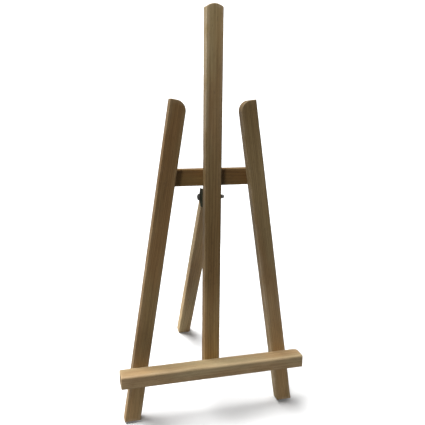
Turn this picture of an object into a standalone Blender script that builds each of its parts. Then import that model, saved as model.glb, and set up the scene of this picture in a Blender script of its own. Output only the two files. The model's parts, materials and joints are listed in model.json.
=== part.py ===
"""Tabletop wooden display easel, used as a plate display stand.

Units are metres, +Z is up, +X is the viewer's right and +Y is the back.
The origin is on the table, under the middle of the stand's outer box.
The front frame (mast, two splayed legs, crossbar and ledge) leans back and is
modelled upright in its own axes: X across, Y front to back, Z up the mast. One
tilted empty then leans it. The rear leg hangs from a bolt in a steel bracket.
"""
import math

import bmesh
import bpy
from mathutils import Matrix, Vector

# ---- driving dimensions -------------------------------------------------
STOCK_WIDTH = 0.0200
STOCK_THICK = 0.0125
GAP = 0.0003
EASED_EDGE = 0.0007

LEAN = math.radians(14.6)
SPLAY = math.radians(8.85)

MAST_TOP = 0.4980
MAST_TOP_RISE = 0.0034

FOOT_HALF_SPREAD = 0.1026
LEG_LENGTH = 0.3992
LEG_ROUND = 0.0125

CROSSBAR_CENTRE = 0.3045
CROSSBAR_HALF = 0.0594

LEDGE_BOTTOM = 0.0573
LEDGE_HEIGHT = 0.0162
LEDGE_DEPTH = 0.0212
LEDGE_HALF = 0.1172
LEDGE_NOSE = 0.0030

HINGE_HEIGHT = 0.2788
HINGE_BACK = 0.0246
OPEN_ANGLE = math.radians(31.0)
REAR_LEG_WIDTH = 0.0180
REAR_LEG_HEAD = 0.0110
REAR_LEG_HEAD_ROUND = 0.0050

BRACKET_PLATE = 0.0011
BRACKET_INSIDE = 0.0190
BRACKET_BEND = 0.0015
BRACKET_TOP = 0.2904
BRACKET_BOTTOM = 0.2680
BRACKET_NOSE = 0.0042
BRACKET_NOSE_START = -48.0
BRACKET_NOSE_END = 62.0
BRACKET_CORNER = 0.0020
BRACKET_LOWER_SLOPE = -25.0
BRACKET_UPPER_SLOPE = 5.0
BRACKET_UPPER_REACH = 0.0240
BRACKET_LOWER_REACH = 0.0208

BOLT_RADIUS = 0.0025
BOLT_HEAD_RADIUS = 0.0041
BOLT_HEAD_RIM = 0.0010
BOLT_HEAD_SHOULDER_RADIUS = 0.0035
BOLT_HEAD_SHOULDER = 0.0020
BOLT_HEAD_FLAT = 0.0023
BOLT_HEAD_HEIGHT = 0.0025
BOLT_CHAMFER = 0.0006
BOLT_TIP = 0.0202
BOLT_CROSS_LENGTH = 0.0044
BOLT_CROSS_SLOT = 0.0011
BOLT_CROSS_DEPTH = 0.0015
WASHER_RADIUS = 0.0050
WASHER_THICK = 0.0010
NUT_ACROSS_FLATS = 0.0080
NUT_THICK = 0.0040
NUT_CHAMFER = 0.0003

SCREW_HEAD_RADIUS = 0.0034
SCREW_HEAD_RIM = 0.0003
SCREW_SHANK_RADIUS = 0.0016
SCREW_POINT = 0.0040
SCREW_SINK = 0.0002
SCREW_CROSS_LENGTH = 0.0036
SCREW_CROSS_SLOT = 0.0009
SCREW_CROSS_DEPTH = 0.0012
CROSSBAR_SCREW_LENGTH = 0.0200
CROSSBAR_SCREW_STEP = 0.0050
CROSSBAR_SCREW_INSET = 0.0015
LEDGE_SCREW_LENGTH = 0.0300
BRACKET_SCREW_LENGTH = 0.0100
BRACKET_SCREW_MARGIN = 0.0045

ROUND_SIDES = 24
SCREW_SIDES = 16

# ---- sizes that follow from them ----------------------------------------
EDGE_ROUNDING_LIFT = EASED_EDGE * (math.cos(LEAN) + math.sin(LEAN) - 1.0)
FRAME_LIFT = STOCK_THICK * math.sin(LEAN) - EDGE_ROUNDING_LIFT
HINGE_AXIS_HEIGHT = HINGE_HEIGHT * math.cos(LEAN) - HINGE_BACK * math.sin(LEAN) + FRAME_LIFT
REAR_LEG_ANGLE = OPEN_ANGLE - LEAN
REAR_LEG_LENGTH = HINGE_AXIS_HEIGHT / math.cos(REAR_LEG_ANGLE)
BRACKET_OUTSIDE = BRACKET_INSIDE + 2.0 * BRACKET_PLATE
WEB_BACK = STOCK_THICK + GAP + BRACKET_PLATE
CROSSBAR_BACK = 2.0 * STOCK_THICK + GAP

FRONT_MOST = LEDGE_BOTTOM * math.sin(LEAN) - (GAP + LEDGE_DEPTH) * math.cos(LEAN)
HINGE_AXIS_BACK = HINGE_HEIGHT * math.sin(LEAN) + HINGE_BACK * math.cos(LEAN)
BACK_MOST = (
    HINGE_AXIS_BACK
    + REAR_LEG_LENGTH * math.sin(REAR_LEG_ANGLE)
    + 0.5 * STOCK_THICK / math.cos(REAR_LEG_ANGLE)
)
FRAME_BACK_SHIFT = -0.5 * (FRONT_MOST + BACK_MOST)

# Axes of a side outline drawn as (back, up) and pulled along X.
SIDE_AXES = Matrix(((0, 0, 1, 0), (1, 0, 0, 0), (0, 1, 0, 0), (0, 0, 0, 1)))
# Axes of a front outline drawn as (right, up) and pulled along Y.
FRONT_AXES = Matrix.Rotation(math.radians(90.0), 4, "X")


# ---- tools ---------------------------------------------------------------
def clear_scene():
    for obj in list(bpy.data.objects):
        bpy.data.objects.remove(obj, do_unlink=True)


def new_collection(name):
    collection = bpy.data.collections.new(name)
    bpy.context.scene.collection.children.link(collection)
    return collection


def make_material(name, colour, roughness, metallic=0.0):
    material = bpy.data.materials.new(name)
    material.use_nodes = True
    shader = material.node_tree.nodes["Principled BSDF"]
    shader.inputs["Base Color"].default_value = (*colour, 1.0)
    shader.inputs["Roughness"].default_value = roughness
    shader.inputs["Metallic"].default_value = metallic
    material.diffuse_color = (*colour, 1.0)
    return material


def arc(centre, radius, start, end, count):
    """Points along an arc; the angles are in degrees."""
    points = []
    for index in range(count + 1):
        angle = math.radians(start + (end - start) * index / count)
        x = centre[0] + radius * math.cos(angle)
        y = centre[1] + radius * math.sin(angle)
        points.append((x, y))
    return points


def outline_solid(name, points, depth, axes, collection):
    """A flat outline pulled to a depth, turned to the given axes."""
    curve = bpy.data.curves.new(name + "_outline", "CURVE")
    curve.dimensions = "2D"
    curve.fill_mode = "BOTH"
    curve.extrude = 0.5 * depth
    spline = curve.splines.new("POLY")
    spline.points.add(len(points) - 1)
    for slot, (x, y) in zip(spline.points, points):
        slot.co = (x, y, 0.0, 1.0)
    spline.use_cyclic_u = True
    guide = bpy.data.objects.new(name + "_guide", curve)
    collection.objects.link(guide)
    bpy.context.view_layer.update()
    evaluated = guide.evaluated_get(bpy.context.evaluated_depsgraph_get())
    mesh = bpy.data.meshes.new_from_object(evaluated)
    mesh.name = name
    mesh.transform(guide.matrix_world)
    bpy.data.objects.remove(guide, do_unlink=True)
    work = bmesh.new()
    work.from_mesh(mesh)
    bmesh.ops.remove_doubles(work, verts=work.verts, dist=1e-6)
    bmesh.ops.dissolve_limit(
        work, angle_limit=math.radians(0.5), verts=work.verts, edges=work.edges
    )
    bmesh.ops.transform(work, matrix=axes, verts=work.verts)
    bmesh.ops.recalc_face_normals(work, faces=work.faces)
    work.to_mesh(mesh)
    work.free()
    solid = bpy.data.objects.new(name, mesh)
    collection.objects.link(solid)
    return solid


def turned_solid(name, profile, steps, collection, ring=False):
    """A profile of (radius, height), top to bottom, turned about Z.

    A ring's profile closes on itself, clear of the axis.
    """
    mesh = bpy.data.meshes.new(name)
    verts = [(radius, 0.0, height) for radius, height in profile]
    edges = [(index, index + 1) for index in range(len(verts) - 1)]
    if ring:
        edges.append((len(verts) - 1, 0))
    mesh.from_pydata(verts, edges, [])
    solid = bpy.data.objects.new(name, mesh)
    collection.objects.link(solid)
    screw = solid.modifiers.new("turn", "SCREW")
    screw.steps = steps
    screw.render_steps = steps
    screw.use_merge_vertices = True
    screw.merge_threshold = 1e-6
    return solid


def cylinder(name, radius, height, sides, collection):
    mesh = bpy.data.meshes.new(name)
    work = bmesh.new()
    bmesh.ops.create_cone(
        work,
        cap_ends=True,
        segments=sides,
        radius1=radius,
        radius2=radius,
        depth=height,
    )
    work.to_mesh(mesh)
    work.free()
    solid = bpy.data.objects.new(name, mesh)
    collection.objects.link(solid)
    return solid


def ease_edges(solid, width, segments=2):
    bevel = solid.modifiers.new("eased_edges", "BEVEL")
    bevel.width = width
    bevel.segments = segments
    bevel.limit_method = "ANGLE"
    bevel.angle_limit = math.radians(35.0)


def boolean(solid, tool, operation="DIFFERENCE"):
    modifier = solid.modifiers.new(tool.name, "BOOLEAN")
    modifier.operation = operation
    modifier.solver = "EXACT"
    modifier.object = tool


def as_tool(solid):
    solid.hide_render = True
    solid.display_type = "WIRE"
    return solid


def place(solid, parent, location, rotation=(0.0, 0.0, 0.0)):
    solid.parent = parent
    solid.location = location
    solid.rotation_euler = rotation
    return solid


def empty(name, collection, location, rotation=(0.0, 0.0, 0.0)):
    marker = bpy.data.objects.new(name, None)
    collection.objects.link(marker)
    marker.location = location
    marker.rotation_euler = rotation
    return marker


def paint(solid, material):
    solid.data.materials.clear()
    solid.data.materials.append(material)


# ---- wooden members ------------------------------------------------------
def make_mast(parts, frame):
    half = 0.5 * STOCK_WIDTH
    radius = (half**2 + MAST_TOP_RISE**2) / (2.0 * MAST_TOP_RISE)
    swing = math.degrees(math.asin(half / radius))
    crown = arc((0.0, MAST_TOP - radius), radius, 90.0 - swing, 90.0 + swing, 10)
    outline = [(-half, LEDGE_BOTTOM), (half, LEDGE_BOTTOM)] + crown
    mast = outline_solid("mast", outline, STOCK_THICK, FRONT_AXES, parts)
    ease_edges(mast, EASED_EDGE)
    return place(mast, frame, (0.0, 0.5 * STOCK_THICK, 0.0))


def make_leg(name, side, parts, frame):
    """A splayed leg; side is -1 for the left one and 1 for the right one."""
    half = 0.5 * STOCK_WIDTH
    foot_drop = half * math.tan(SPLAY)
    top_corner = arc(
        (-half + LEG_ROUND, LEG_LENGTH - LEG_ROUND), LEG_ROUND, 90.0, 180.0, 10
    )
    outline = [(-half, foot_drop), (half, -foot_drop), (half, LEG_LENGTH)] + top_corner
    outline = [(side * x, y) for x, y in outline]
    leg = outline_solid(name, outline, STOCK_THICK, FRONT_AXES, parts)
    ease_edges(leg, EASED_EDGE)
    location = (side * FOOT_HALF_SPREAD, 0.5 * STOCK_THICK, 0.0)
    return place(leg, frame, location, (0.0, -side * SPLAY, 0.0))


def make_crossbar(parts, frame):
    half = 0.5 * STOCK_WIDTH
    low = CROSSBAR_CENTRE - half
    high = CROSSBAR_CENTRE + half
    outline = [
        (-CROSSBAR_HALF, low),
        (CROSSBAR_HALF, low),
        (CROSSBAR_HALF, high),
        (-CROSSBAR_HALF, high),
    ]
    crossbar = outline_solid("crossbar", outline, STOCK_THICK, FRONT_AXES, parts)
    ease_edges(crossbar, EASED_EDGE)
    return place(crossbar, frame, (0.0, CROSSBAR_BACK - 0.5 * STOCK_THICK, 0.0))


def make_ledge(parts, frame):
    top = LEDGE_BOTTOM + LEDGE_HEIGHT
    front = -GAP - LEDGE_DEPTH
    nose = arc((front + LEDGE_NOSE, top - LEDGE_NOSE), LEDGE_NOSE, 90.0, 180.0, 5)
    outline = [(front, LEDGE_BOTTOM), (-GAP, LEDGE_BOTTOM), (-GAP, top)] + nose
    ledge = outline_solid("ledge", outline, 2.0 * LEDGE_HALF, SIDE_AXES, parts)
    ease_edges(ledge, EASED_EDGE)
    return place(ledge, frame, (0.0, 0.0, 0.0))


def make_rear_leg(parts, pivot):
    """Drawn about the bolt axis, standing upright, then swung to its open angle."""
    half = 0.5 * STOCK_THICK
    foot_rise = half * math.tan(REAR_LEG_ANGLE)
    head = REAR_LEG_HEAD
    stop = HINGE_BACK - WEB_BACK - GAP
    bevel_low = (stop * math.cos(OPEN_ANGLE) - half) / math.sin(OPEN_ANGLE)
    bevel_start = bevel_low * math.cos(OPEN_ANGLE) + stop * math.sin(OPEN_ANGLE)
    bevel_end = (stop - head * math.sin(OPEN_ANGLE)) / math.cos(OPEN_ANGLE)
    corner = arc(
        (half - REAR_LEG_HEAD_ROUND, head - REAR_LEG_HEAD_ROUND),
        REAR_LEG_HEAD_ROUND,
        0.0,
        90.0,
        6,
    )
    outline = [
        (-half, -REAR_LEG_LENGTH + foot_rise),
        (half, -REAR_LEG_LENGTH - foot_rise),
    ]
    outline += corner
    outline += [(-bevel_end, head), (-half, bevel_start)]
    leg = outline_solid("rear_leg", outline, REAR_LEG_WIDTH, SIDE_AXES, parts)
    ease_edges(leg, EASED_EDGE)
    return place(leg, pivot, (0.0, 0.0, 0.0), (OPEN_ANGLE, 0.0, 0.0))


# ---- steel fittings ------------------------------------------------------
def make_bracket(parts, tools, frame):
    """A folded U plate: its web is screwed to the mast, its cheeks hold the bolt."""
    out = 0.5 * BRACKET_OUTSIDE
    inside = 0.5 * BRACKET_INSIDE
    front = STOCK_THICK + GAP
    reach = HINGE_BACK + BRACKET_NOSE + BRACKET_PLATE
    left_bend = arc((-out + BRACKET_BEND, front + BRACKET_BEND), BRACKET_BEND, 180.0, 270.0, 4)
    right_bend = arc((out - BRACKET_BEND, front + BRACKET_BEND), BRACKET_BEND, 270.0, 360.0, 4)
    channel = left_bend + right_bend
    channel += [(out, reach), (inside, reach), (inside, WEB_BACK)]
    channel += [(-inside, WEB_BACK), (-inside, reach), (-out, reach)]
    height = BRACKET_TOP - BRACKET_BOTTOM
    identity = Matrix.Identity(4)
    bracket = outline_solid("hinge_bracket", channel, height, identity, parts)
    place(bracket, frame, (0.0, 0.0, 0.5 * (BRACKET_TOP + BRACKET_BOTTOM)))

    margin = BRACKET_PLATE
    corner = BRACKET_CORNER
    low_centre = (BRACKET_LOWER_REACH - corner, BRACKET_BOTTOM + corner)
    low_corner = arc(low_centre, corner, -90.0, BRACKET_LOWER_SLOPE, 4)
    nose_centre = (HINGE_BACK, HINGE_HEIGHT)
    nose = arc(nose_centre, BRACKET_NOSE, BRACKET_NOSE_START, BRACKET_NOSE_END, 12)
    high_centre = (BRACKET_UPPER_REACH - corner, BRACKET_TOP - corner)
    high_corner = arc(high_centre, corner, BRACKET_UPPER_SLOPE, 90.0, 4)
    cheek = [(front - margin, BRACKET_BOTTOM)]
    cheek += low_corner + nose + high_corner
    cheek += [(front - margin, BRACKET_TOP)]
    width = BRACKET_OUTSIDE + 2.0 * margin
    shape = as_tool(outline_solid("cheek_shape", cheek, width, SIDE_AXES, tools))
    place(shape, frame, (0.0, 0.0, 0.0))
    boolean(bracket, shape, "INTERSECT")
    return bracket


def make_bolt(parts, tools, frame):
    """Pan-headed bolt along X: head on the left, bare end on the right."""
    seat = -0.5 * BRACKET_OUTSIDE - GAP
    length = BOLT_TIP - seat
    profile = [
        (0.0, BOLT_HEAD_HEIGHT),
        (BOLT_HEAD_FLAT, BOLT_HEAD_HEIGHT),
        (BOLT_HEAD_SHOULDER_RADIUS, BOLT_HEAD_SHOULDER),
        (BOLT_HEAD_RADIUS, BOLT_HEAD_RIM),
        (BOLT_HEAD_RADIUS, 0.0),
        (BOLT_RADIUS, 0.0),
        (BOLT_RADIUS, -length + BOLT_CHAMFER),
        (BOLT_RADIUS - BOLT_CHAMFER, -length),
        (0.0, -length),
    ]
    bolt = turned_solid("pivot_bolt", profile, ROUND_SIDES, parts)
    place(bolt, frame, (seat, HINGE_BACK, HINGE_HEIGHT), (0.0, math.radians(-90.0), 0.0))
    cross = (BOLT_CROSS_LENGTH, BOLT_CROSS_SLOT, BOLT_CROSS_DEPTH)
    recess = cross_tool("pivot_bolt_recess", *cross, tools)
    recess_location = (seat - BOLT_HEAD_HEIGHT, HINGE_BACK, HINGE_HEIGHT)
    place(recess, frame, recess_location, (0.0, math.radians(-90.0), 0.0))
    boolean(bolt, recess)
    return bolt


def make_washer(parts, frame):
    inner = BOLT_RADIUS + GAP
    profile = [
        (inner, WASHER_THICK),
        (WASHER_RADIUS, WASHER_THICK),
        (WASHER_RADIUS, 0.0),
        (inner, 0.0),
    ]
    washer = turned_solid("pivot_washer", profile, ROUND_SIDES, parts, ring=True)
    start = 0.5 * BRACKET_OUTSIDE + GAP
    return place(washer, frame, (start, HINGE_BACK, HINGE_HEIGHT), (0.0, math.radians(90.0), 0.0))


def make_nut(parts, tools, frame):
    start = 0.5 * BRACKET_OUTSIDE + GAP + WASHER_THICK + GAP
    corner_radius = 0.5 * NUT_ACROSS_FLATS / math.cos(math.radians(30.0))
    nut = cylinder("pivot_nut", corner_radius, NUT_THICK, 6, parts)
    middle = (start + 0.5 * NUT_THICK, HINGE_BACK, HINGE_HEIGHT)
    turn = (0.0, math.radians(90.0), 0.0)
    place(nut, frame, middle, turn)
    ease_edges(nut, NUT_CHAMFER, 1)
    bore = round_tool("pivot_nut_bore", BOLT_RADIUS + GAP, 2.0 * NUT_THICK, tools)
    place(bore, frame, middle, turn)
    boolean(nut, bore)
    return nut


def round_tool(name, radius, height, tools):
    return as_tool(cylinder(name, radius, height, ROUND_SIDES, tools))


def cross_tool(name, size, slot, depth, tools):
    """The plus-shaped cutter of a cross recess; it cuts to depth from its origin."""
    long = 0.5 * size
    short = 0.5 * slot
    outline = []
    for quarter in range(4):
        turn = Matrix.Rotation(math.radians(90.0 * quarter), 2)
        for point in ((long, -short), (long, short), (short, short)):
            turned = turn @ Vector(point)
            outline.append((turned.x, turned.y))
    return as_tool(outline_solid(name, outline, 2.0 * depth, Matrix.Identity(4), tools))


def screw_profile(length, grow):
    """A countersunk wood screw; grow widens it into the hole that clears it."""
    head = SCREW_HEAD_RADIUS + grow
    shank = SCREW_SHANK_RADIUS + grow
    cone = SCREW_HEAD_RADIUS - SCREW_SHANK_RADIUS
    rim = SCREW_SINK + grow if grow else 0.0
    bottom = length + grow
    return [
        (0.0, rim),
        (head, rim),
        (head, -SCREW_HEAD_RIM),
        (shank, -SCREW_HEAD_RIM - cone),
        (shank, -bottom + SCREW_POINT),
        (0.0, -bottom),
    ]


def make_screw(name, length, location, wood, parts, tools, frame):
    """A screw driven forwards (along -Y) from its head, and its hole in each piece."""
    turn = (math.radians(-90.0), 0.0, 0.0)
    x, y, z = location
    sunk = (x, y - SCREW_SINK, z)
    screw = turned_solid(name, screw_profile(length, 0.0), SCREW_SIDES, parts)
    place(screw, frame, sunk, turn)
    cross = (SCREW_CROSS_LENGTH, SCREW_CROSS_SLOT, SCREW_CROSS_DEPTH)
    recess = cross_tool(name + "_recess", *cross, tools)
    place(recess, frame, sunk, turn)
    boolean(screw, recess)
    hole_profile = screw_profile(length, GAP)
    hole = as_tool(turned_solid(name + "_hole", hole_profile, SCREW_SIDES, tools))
    place(hole, frame, sunk, turn)
    for piece in wood:
        boolean(piece, hole)
    return screw


# ---- the stand -----------------------------------------------------------
def build():
    clear_scene()
    parts = new_collection("plate_display_stand")
    tools = new_collection("cutters")

    wood = make_material("beech", (0.40, 0.25, 0.13), 0.55)
    ledge_wood = make_material("ledge_beech", (0.44, 0.28, 0.15), 0.55)
    enamel = make_material("dark_enamel", (0.025, 0.032, 0.022), 0.40, 0.3)
    bolt_steel = make_material("bolt_steel", (0.10, 0.10, 0.09), 0.38, 0.9)
    zinc = make_material("zinc_steel", (0.45, 0.45, 0.43), 0.35, 1.0)

    frame = empty("front_frame", parts, (0.0, FRAME_BACK_SHIFT, FRAME_LIFT), (-LEAN, 0.0, 0.0))
    pivot = empty("rear_leg_axis", parts, (0.0, HINGE_BACK, HINGE_HEIGHT))
    pivot.parent = frame

    mast = make_mast(parts, frame)
    left_leg = make_leg("left_leg", -1.0, parts, frame)
    right_leg = make_leg("right_leg", 1.0, parts, frame)
    crossbar = make_crossbar(parts, frame)
    ledge = make_ledge(parts, frame)
    rear_leg = make_rear_leg(parts, pivot)
    bracket = make_bracket(parts, tools, frame)
    bolt = make_bolt(parts, tools, frame)
    washer = make_washer(parts, frame)
    nut = make_nut(parts, tools, frame)

    bore = round_tool("pivot_bore", BOLT_RADIUS + GAP, 2.0 * BRACKET_OUTSIDE, tools)
    place(bore, frame, (0.0, HINGE_BACK, HINGE_HEIGHT), (0.0, math.radians(90.0), 0.0))
    boolean(bracket, bore)
    boolean(rear_leg, bore)

    screws = []
    leg_x = FOOT_HALF_SPREAD - CROSSBAR_CENTRE * math.tan(SPLAY) - CROSSBAR_SCREW_INSET
    joints = (("left", -leg_x, left_leg), ("centre", 0.0, mast), ("right", leg_x, right_leg))
    for label, x, member in joints:
        for level, sign in (("lower", -1.0), ("upper", 1.0)):
            height = CROSSBAR_CENTRE + sign * CROSSBAR_SCREW_STEP
            screws.append(
                make_screw(
                    "crossbar_screw_" + label + "_" + level,
                    CROSSBAR_SCREW_LENGTH,
                    (x, CROSSBAR_BACK, height),
                    (crossbar, member),
                    parts,
                    tools,
                    frame,
                )
            )

    ledge_middle = LEDGE_BOTTOM + 0.5 * LEDGE_HEIGHT
    foot_x = FOOT_HALF_SPREAD - ledge_middle * math.tan(SPLAY)
    joints = (("left", -foot_x, left_leg), ("centre", 0.0, mast), ("right", foot_x, right_leg))
    for label, x, member in joints:
        screws.append(
            make_screw(
                "ledge_screw_" + label,
                LEDGE_SCREW_LENGTH,
                (x, STOCK_THICK, ledge_middle),
                (ledge, member),
                parts,
                tools,
                frame,
            )
        )

    low_screw = BRACKET_BOTTOM + BRACKET_SCREW_MARGIN
    high_screw = BRACKET_TOP - BRACKET_SCREW_MARGIN
    for label, height in (("lower", low_screw), ("upper", high_screw)):
        screws.append(
            make_screw(
                "bracket_screw_" + label,
                BRACKET_SCREW_LENGTH,
                (0.0, WEB_BACK, height),
                (bracket, mast),
                parts,
                tools,
                frame,
            )
        )

    for piece in (mast, left_leg, right_leg, crossbar, rear_leg):
        paint(piece, wood)
    paint(ledge, ledge_wood)
    paint(bracket, enamel)
    for piece in (bolt, washer, nut):
        paint(piece, bolt_steel)
    for piece in screws:
        paint(piece, zinc)


build()
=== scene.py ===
"""Looks of a tabletop wooden display easel, laid out as an add-on.

Units are metres. Every wooden piece is built in its own axes, with its length
along local Z and its thickness along local Y, so that the grain follows it.
The leaning front frame has axes X across, Y front to back and Z up the mast.
"""
import json
import math
import bmesh
import bpy
from bpy.props import FloatProperty, FloatVectorProperty, PointerProperty
from mathutils import Matrix, Vector, noise


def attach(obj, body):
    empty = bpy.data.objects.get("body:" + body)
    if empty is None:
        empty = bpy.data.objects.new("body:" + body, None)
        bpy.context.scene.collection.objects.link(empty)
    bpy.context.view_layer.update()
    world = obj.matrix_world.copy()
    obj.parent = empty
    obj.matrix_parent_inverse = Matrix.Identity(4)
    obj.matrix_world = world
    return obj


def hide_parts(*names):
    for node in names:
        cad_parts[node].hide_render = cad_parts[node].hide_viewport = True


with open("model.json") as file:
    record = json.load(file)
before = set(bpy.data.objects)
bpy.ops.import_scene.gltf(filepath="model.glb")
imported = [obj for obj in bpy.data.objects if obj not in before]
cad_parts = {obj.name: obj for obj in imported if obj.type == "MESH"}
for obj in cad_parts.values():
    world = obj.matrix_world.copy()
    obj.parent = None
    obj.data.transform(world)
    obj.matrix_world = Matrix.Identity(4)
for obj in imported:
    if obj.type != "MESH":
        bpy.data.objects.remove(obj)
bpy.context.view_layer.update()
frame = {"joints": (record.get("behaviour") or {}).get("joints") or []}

bl_info = {
    "name": "Display Easel",
    "version": (1, 0, 0),
    "blender": (4, 5, 0),
    "location": "View3D > Sidebar > Easel",
    "description": "Builds the timber, fittings and studio stage of a tabletop easel",
    "category": "Object",
}

HINGE_PLACE = Vector(frame["joints"][0]["pos_m"])
FRAME_BODY = "front_frame"
LEG_BODY = "prop"

BUTT_GAP = 0.00005  # between joined faces
HOLE_GAP = 0.0003  # between a fitting and its hole
CUT_MARGIN = 0.0010  # how far a cutter reaches past what it cuts
WELD_REACH = 2e-6  # vertices nearer than this become one
SHARP_EDGE = math.radians(40.0)  # bends above this are edges
WEAR_FULL = math.radians(20.0)  # bends above this are worn fully

STRIP_LENGTH = 0.006  # timber is cut into strips this long and wide, then weathered
STRIP_WIDTH = 0.005
REAR_STRIP_WIDTH = 0.0045
FACE_SWAY = 0.00006
EDGE_DENT = 0.0004
SWAY_SCALE = Vector((60.0, 60.0, 18.0))
DENT_SCALE = Vector((90.0, 90.0, 110.0))
DENT_ABOVE = 0.15  # noise below this leaves an edge whole
WORN_FROM = 0.3  # edge share from which wood is dented
NICK_SETBACK = 0.0012  # the small nick at the ledge's right end
NICK_RADIUS = 0.0030
NICK_DEPTH = 0.0011

SIDES_ROUND = 48
THREAD_SIDES = 32
RINGS_PER_TURN = 8
RIM_ROUND = 0.00018  # rounding of the bracket's rims
CHEEK_LOWER_END = -25.0  # degrees at which the cheek's arcs meet its straight edges
CHEEK_NOSE_START = -48.0
CHEEK_NOSE_END = 62.0
CHEEK_UPPER_START = 5.0
SCREW_RIM = 0.0003
SCREW_RIM_EASED = 0.00008
BOLT_THREAD_DEPTH = 0.00036
SCREW_THREAD_DEPTH = 0.00045
BOLT_CROSS = (0.0044, 0.0011, 0.0015)  # length, width and depth of a cross recess
SCREW_CROSS = (0.0036, 0.0009, 0.0012)
BOLT_CROWN = ((0.62, 0.97), (0.78, 0.87), (0.90, 0.72), (0.97, 0.54), (1.0, 0.34))

GRAIN_DEPTH = 0.00012
SCRATCH_DEPTH = 0.00003
LACQUER_ROUGHNESS = 0.34
WOOD_SHINE = 0.32
TONE_REACH = 2.5  # brightest value that the painted light and tone of a piece can take
WARM_RED = 0.07  # change of red and of blue for each unit of warmth
WARM_BLUE = 0.15
KEY_SIDE = Vector((-0.35, 0.26, 0.90))  # from the easel to each light
FILL_SIDE = Vector((-0.66, -0.78, 0.62))
BACK_SIDE = Vector((0.75, 0.45, 0.48))


# ---- sizes and colours --------------------------------------------------
def length(name, description, default):
    return FloatProperty(
        name=name, description=description, default=default, min=0.0, unit="LENGTH", precision=4
    )


def angle(name, description, degrees):
    return FloatProperty(
        name=name, description=description, default=math.radians(degrees), subtype="ANGLE"
    )


def colour(name, description, default):
    return FloatVectorProperty(
        name=name, description=description, default=default, min=0.0, max=1.0, subtype="COLOR"
    )


def amount(name, description, default, most=1.0):
    return FloatProperty(name=name, description=description, default=default, min=0.0, max=most)


class EaselTimber(bpy.types.PropertyGroup):
    """Sizes of the wooden members."""

    width: length("Batten width", "Width of the front battens", 0.0200)
    thick: length("Batten thickness", "Thickness of all battens", 0.0125)
    eased: length("Eased edge", "Radius of the sanded edges", 0.0009)
    lean: angle("Lean", "How far the front frame leans back", 14.6)
    splay: angle("Splay", "How far each front leg spreads from the mast", 8.85)
    mast_top: length("Mast top", "Height of the mast's top along the frame", 0.4980)
    mast_rise: length("Crown rise", "Rise of the mast's curved top", 0.0034)
    foot_spread: length("Foot spread", "Half the distance between the front feet", 0.1026)
    leg_length: length("Leg length", "Length of a front leg along its middle", 0.3992)
    leg_round: length("Leg round", "Radius of a front leg's inner top corner", 0.0125)
    crossbar_centre: length("Crossbar height", "Height of the crossbar's middle", 0.3045)
    crossbar_half: length("Crossbar half", "Half the crossbar's length", 0.0594)
    ledge_bottom: length("Ledge bottom", "Height of the ledge's underside", 0.0573)
    ledge_height: length("Ledge height", "Thickness of the ledge", 0.0162)
    ledge_depth: length("Ledge depth", "How far the ledge stands forward", 0.0212)
    ledge_half: length("Ledge half", "Half the ledge's length", 0.1172)
    ledge_nose: length("Ledge nose", "Radius of the ledge's front top edge", 0.0030)
    open_angle: angle("Open angle", "Angle between the rear leg and the mast", 31.0)
    rear_width: length("Rear leg width", "Width of the rear leg", 0.0180)
    rear_head: length("Rear leg head", "Wood above the pivot bolt", 0.0110)
    rear_head_round: length("Rear head round", "Radius of the head's rear corner", 0.0050)


class EaselFittings(bpy.types.PropertyGroup):
    """Sizes of the bracket, the pivot bolt and the screws."""

    hinge_height: length("Pivot height", "Height of the bolt along the mast", 0.2788)
    hinge_back: length("Pivot setback", "Bolt behind the mast's front face", 0.0246)
    plate: length("Plate", "Thickness of the bracket's steel", 0.0011)
    inside: length("Bracket inside", "Width between the bracket's cheeks", 0.0190)
    bend: length("Bend", "Outside radius of the bracket's folds", 0.0015)
    top: length("Bracket top", "Height of the bracket's top edge", 0.2904)
    bottom: length("Bracket bottom", "Height of the bracket's lower edge", 0.2680)
    nose: length("Cheek nose", "Radius of the cheek around the bolt", 0.0042)
    corner: length("Cheek corner", "Radius of the cheek's other corners", 0.0020)
    upper_reach: length("Upper reach", "Setback of the cheek's upper corner", 0.0240)
    lower_reach: length("Lower reach", "Setback of the cheek's lower corner", 0.0208)
    bolt_radius: length("Bolt radius", "Radius of the pivot bolt", 0.0025)
    bolt_head: length("Bolt head", "Radius of the bolt's pan head", 0.0041)
    bolt_head_height: length("Head height", "Height of the bolt's pan head", 0.0025)
    bolt_tip: length("Bolt tip", "Where the bolt ends, right of the middle", 0.0202)
    bolt_pitch: length("Bolt pitch", "Thread pitch of the bolt", 0.0008)
    washer_radius: length("Washer radius", "Outer radius of the washer", 0.0050)
    washer_thick: length("Washer thickness", "Thickness of the washer", 0.0010)
    nut_flats: length("Nut size", "Nut width across flats", 0.0080)
    nut_thick: length("Nut thickness", "Thickness of the nut", 0.0040)
    screw_head: length("Screw head", "Radius of a countersunk head", 0.0034)
    screw_shank: length("Screw shank", "Radius of a screw's shank", 0.0016)
    screw_pitch: length("Screw pitch", "Thread pitch of the wood screws", 0.0014)
    screw_point: length("Screw point", "Length of a screw's point", 0.0040)
    screw_sink: length("Screw sink", "How deep a head sits below its surface", 0.0002)
    crossbar_screw: length("Crossbar screw", "Length of the crossbar screws", 0.0200)
    crossbar_step: length("Screw step", "Half the spacing of a pair of screws", 0.0050)
    crossbar_inset: length("Screw inset", "Crossbar screws inside the leg's middle", 0.0015)
    ledge_screw: length("Ledge screw", "Length of the ledge screws", 0.0300)
    bracket_screw: length("Bracket screw", "Length of the bracket screws", 0.0100)
    bracket_margin: length("Bracket margin", "Bracket screws from its edges", 0.0045)


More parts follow.
